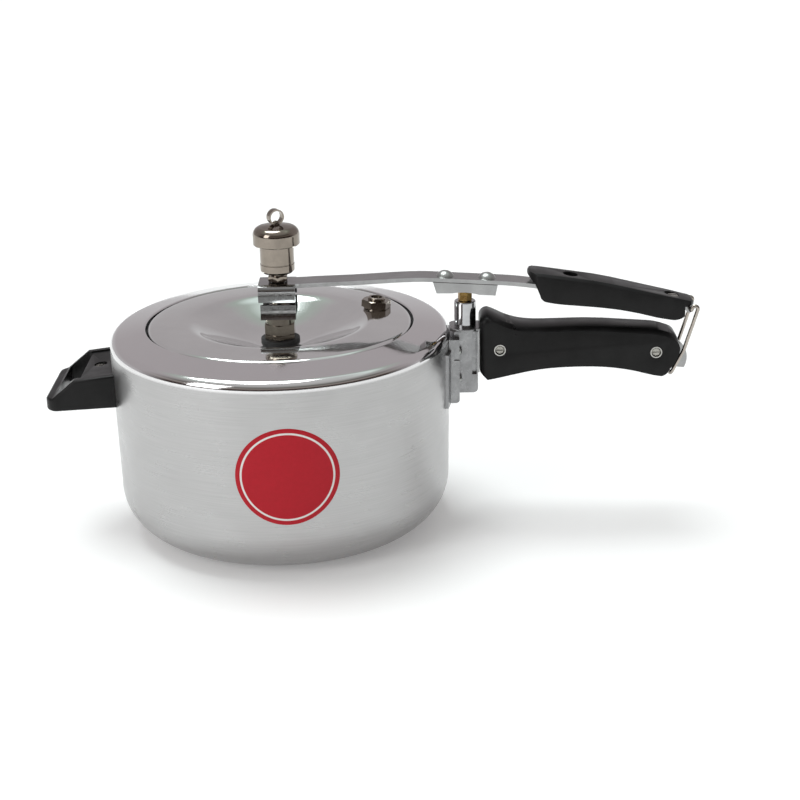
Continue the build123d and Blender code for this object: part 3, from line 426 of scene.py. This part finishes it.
def lid_mid_ring(share, drop=0.0):
    """Ring on the lid's top, from round at share 0 to the rim's oval at share 1."""
    def ring(angle):
        radius = ROUND_LID_R + (oval_radius(RIM, angle) - RIM_ROUND - ROUND_LID_R) * share
        return radius, lid_surface(radius) - drop
    return ring


def make_lid():
    """Top from the vent hole out, down the rim and round the flange, then back under the dish."""
    dish = [LID_KNOTS[0][0] + DISH_STEP * step for step in range(DISH_RINGS)]
    rings = [round_ring(VENT_HOLE_R, LID_FLOOR_Z - LID_T), round_ring(VENT_HOLE_R, LID_FLOOR_Z)]
    rings += [round_ring(r, lid_surface(r)) for r in dish]
    rings += [lid_mid_ring(share) for share in (0.0, 0.35, 0.7)]
    rings += [lid_rim_ring(degrees) for degrees in (90, 72, 54, 36, 18, 0)]
    rings += [oval_ring(RIM, 0.0, FLANGE_Z[1]), oval_ring(FLANGE, 0.0, FLANGE_Z[1])]
    rings.append(oval_ring(FLANGE, 0.0, FLANGE_Z[0]))
    rings += [oval_ring(RIM, -LID_T, FLANGE_Z[0]), oval_ring(RIM, -LID_T, SKIRT_TOP_Z)]
    rings += [lid_mid_ring(share, LID_T) for share in (1.0, 0.5, 0.0)]
    rings += [round_ring(r + UNDER_SHIFT, lid_surface(r) - LID_T) for r in reversed(dish)]
    lid = new_piece("lid_spinning", turned_mesh("lid_spinning", rings), "lid", "lid_aluminium", "lid_shell")
    smooth(lid, 38)


def make_label():
    """Thin disc that hugs the tapered wall, with a rounded edge."""
    mesh = bmesh.new()
    rings, spokes = 14, 96
    profile = [(LABEL_R * step / rings, LABEL_T) for step in range(1, rings)]
    profile += [(LABEL_R - 0.15, LABEL_T), (LABEL_R - 0.04, 0.12), (LABEL_R, 0.02)]
    loops = []
    for radius, lift in [(0.0, LABEL_T)] + profile:
        loop = []
        for spoke in range(spokes if radius else 1):
            angle = 2 * math.pi * spoke / spokes
            x, z = LABEL_X + radius * math.cos(angle), LABEL_Z + radius * math.sin(angle)
            y = -math.sqrt((wall_radius(z) + lift) ** 2 - x * x)
            loop.append(mesh.verts.new((x * MM, y * MM, z * MM)))
        loops.append(loop)
    centre = loops[0][0]
    for spoke in range(spokes):
        after = (spoke + 1) % spokes
        mesh.faces.new((centre, loops[1][spoke], loops[1][after]))
        for one, two in zip(loops[1:], loops[2:]):
            mesh.faces.new((one[spoke], two[spoke], two[after], one[after]))
    back = mesh.faces.new(list(reversed(loops[-1])))
    back.smooth = False
    bmesh.ops.recalc_face_normals(mesh, faces=mesh.faces)
    data = bpy.data.meshes.new("label_film")
    mesh.to_mesh(data)
    mesh.free()
    smooth(new_piece("label_disc", data, "pot", "label_film", "front_label"), 40)


# ---------------------------------------------------------------- pieces with the CAD's shape
def softened_copy(node, body, width, name):
    """The CAD node's shape with small rounds along its sharp edges."""
    mesh = bmesh.new()
    mesh.from_mesh(NODES[node].data)
    bmesh.ops.remove_doubles(mesh, verts=mesh.verts, dist=2e-6)
    bmesh.ops.dissolve_limit(mesh, angle_limit=math.radians(1.0), verts=mesh.verts, edges=mesh.edges)
    data = bpy.data.meshes.new(name)
    mesh.to_mesh(data)
    mesh.free()
    obj = new_piece(name, data, body, SLOT_OF[node], node)
    bevel = obj.modifiers.new("rounds", "BEVEL")
    bevel.width = width * MM
    bevel.segments = 3
    bevel.limit_method = "ANGLE"
    bevel.angle_limit = math.radians(28)
    bevel.use_clamp_overlap = True
    depsgraph = bpy.context.evaluated_depsgraph_get()
    rounded = bpy.data.meshes.new_from_object(obj.evaluated_get(depsgraph))
    obj.modifiers.clear()
    obj.data = rounded
    dress(obj, SLOT_OF[node])
    smooth(obj, 32)


def dress_cad_nodes():
    for name, obj in NODES.items():
        dress(obj, SLOT_OF[name])


# ---------------------------------------------------------------- camera, floor and light
EYE = (0.07704, -1.04519, 0.46790)
PITCH, ROLL, LENS = math.radians(20.47), math.radians(-1.105), 75.88
FLOOR_HALF = 8.0


def make_camera():
    """The photograph's view: from in front and above, turned a little about its own axis."""
    ahead = Vector((0.0, math.cos(PITCH), -math.sin(PITCH)))
    level_up = Vector((0.0, math.sin(PITCH), math.cos(PITCH)))
    right = math.cos(ROLL) * Vector((1.0, 0.0, 0.0)) + math.sin(ROLL) * level_up
    up = right.cross(ahead)
    camera = bpy.data.objects.new("camera", bpy.data.cameras.new("camera"))
    camera.data.sensor_width = 36.0
    camera.data.lens = LENS
    turn = Matrix((right, up, -ahead)).transposed().to_4x4()
    camera.matrix_world = Matrix.Translation(EYE) @ turn
    bpy.context.scene.collection.objects.link(camera)
    bpy.context.scene.camera = camera


def make_floor():
    data = bpy.data.meshes.new("floor")
    corners = [(x * FLOOR_HALF, y * FLOOR_HALF, 0) for x, y in ((-1, -1), (1, -1), (1, 1), (-1, 1))]
    data.from_pydata(corners, [], [(0, 1, 2, 3)])
    floor = bpy.data.objects.new("floor", data)
    bpy.context.scene.collection.objects.link(floor)
    white = Finish("floor_white", (0.86, 0.86, 0.86), 0.7)
    white.shader.inputs["Emission Color"].default_value = (1.0, 1.0, 1.0, 1.0)
    white.shader.inputs["Emission Strength"].default_value = 0.18
    data.materials.append(white.material)


def make_world():
    """Soft studio: grey behind the object, bright overhead, and a dark band low in front of it."""
    world = bpy.data.worlds.new("studio")
    bpy.context.scene.world = world
    world.use_nodes = True
    tree = world.node_tree
    links = tree.links
    direction = tree.nodes.new("ShaderNodeTexCoord").outputs["Generated"]
    split = tree.nodes.new("ShaderNodeSeparateXYZ")
    links.new(direction, split.inputs[0])

    def ramp(stops):
        made = tree.nodes.new("ShaderNodeValToRGB")
        links.new(split.outputs["Z"], made.inputs[0])
        while len(made.color_ramp.elements) < len(stops):
            made.color_ramp.elements.new(0.5)
        for element, (place, color) in zip(made.color_ramp.elements, stops):
            element.position = place
            element.color = (*color, 1.0)
        return made.outputs[0]

    behind = ramp([(0.0, (0.60, 0.59, 0.60)), (0.3, (0.46, 0.43, 0.44)), (0.70, (0.46, 0.43, 0.44)),
                   (0.80, (0.44, 0.49, 0.45)), (0.86, (0.82, 0.93, 0.89)), (0.93, (0.62, 0.65, 0.635)),
                   (1.0, (0.62, 0.62, 0.62))])
    front = ramp([(0.0, (0.05, 0.04, 0.035)), (0.22, (0.07, 0.05, 0.045)), (0.40, (0.34, 0.31, 0.29)),
                  (0.55, (0.13, 0.12, 0.11)), (0.80, (0.50, 0.50, 0.49)), (1.0, (0.62, 0.62, 0.62))])
    side = tree.nodes.new("ShaderNodeMapRange")
    side.inputs["From Min"].default_value = -0.25
    side.inputs["From Max"].default_value = 0.25
    links.new(split.outputs["Y"], side.inputs["Value"])
    blend = tree.nodes.new("ShaderNodeMix")
    blend.data_type = "RGBA"
    links.new(side.outputs["Result"], blend.inputs[0])
    links.new(front, blend.inputs[6])
    links.new(behind, blend.inputs[7])
    links.new(blend.outputs[2], tree.nodes["Background"].inputs["Color"])
    tree.nodes["Background"].inputs["Strength"].default_value = 1.0


def make_lights():
    overhead = bpy.data.objects.new("overhead", bpy.data.lights.new("overhead", "SUN"))
    overhead.data.energy = 1.9
    overhead.data.angle = math.radians(34)
    overhead.data.color = (0.95, 1.0, 1.0)
    overhead.rotation_euler = (math.radians(-14), math.radians(-10), 0)
    bpy.context.scene.collection.objects.link(overhead)
    fill = bpy.data.objects.new("fill", bpy.data.lights.new("fill", "AREA"))
    fill.data.energy = 9.0
    fill.data.shape = "RECTANGLE"
    fill.data.size, fill.data.size_y = 0.7, 1.1
    fill.location = (-1.2, -1.1, 0.9)
    fill.rotation_euler = (Vector((0.1, 0.0, 0.08)) - fill.location).to_track_quat("-Z", "Y").to_euler()
    bpy.context.scene.collection.objects.link(fill)


bpy.context.scene.view_settings.view_transform = "Standard"
make_camera()
make_world()
make_lights()
make_floor()
dress_cad_nodes()
make_pot()
make_lid()
make_label()
softened_copy("body_handle", "pot", 1.1, "long_handle")
softened_copy("lid_handle", "lever", 0.9, "lever_handle")
softened_copy("helper_handle", "pot", 0.9, "short_handle")
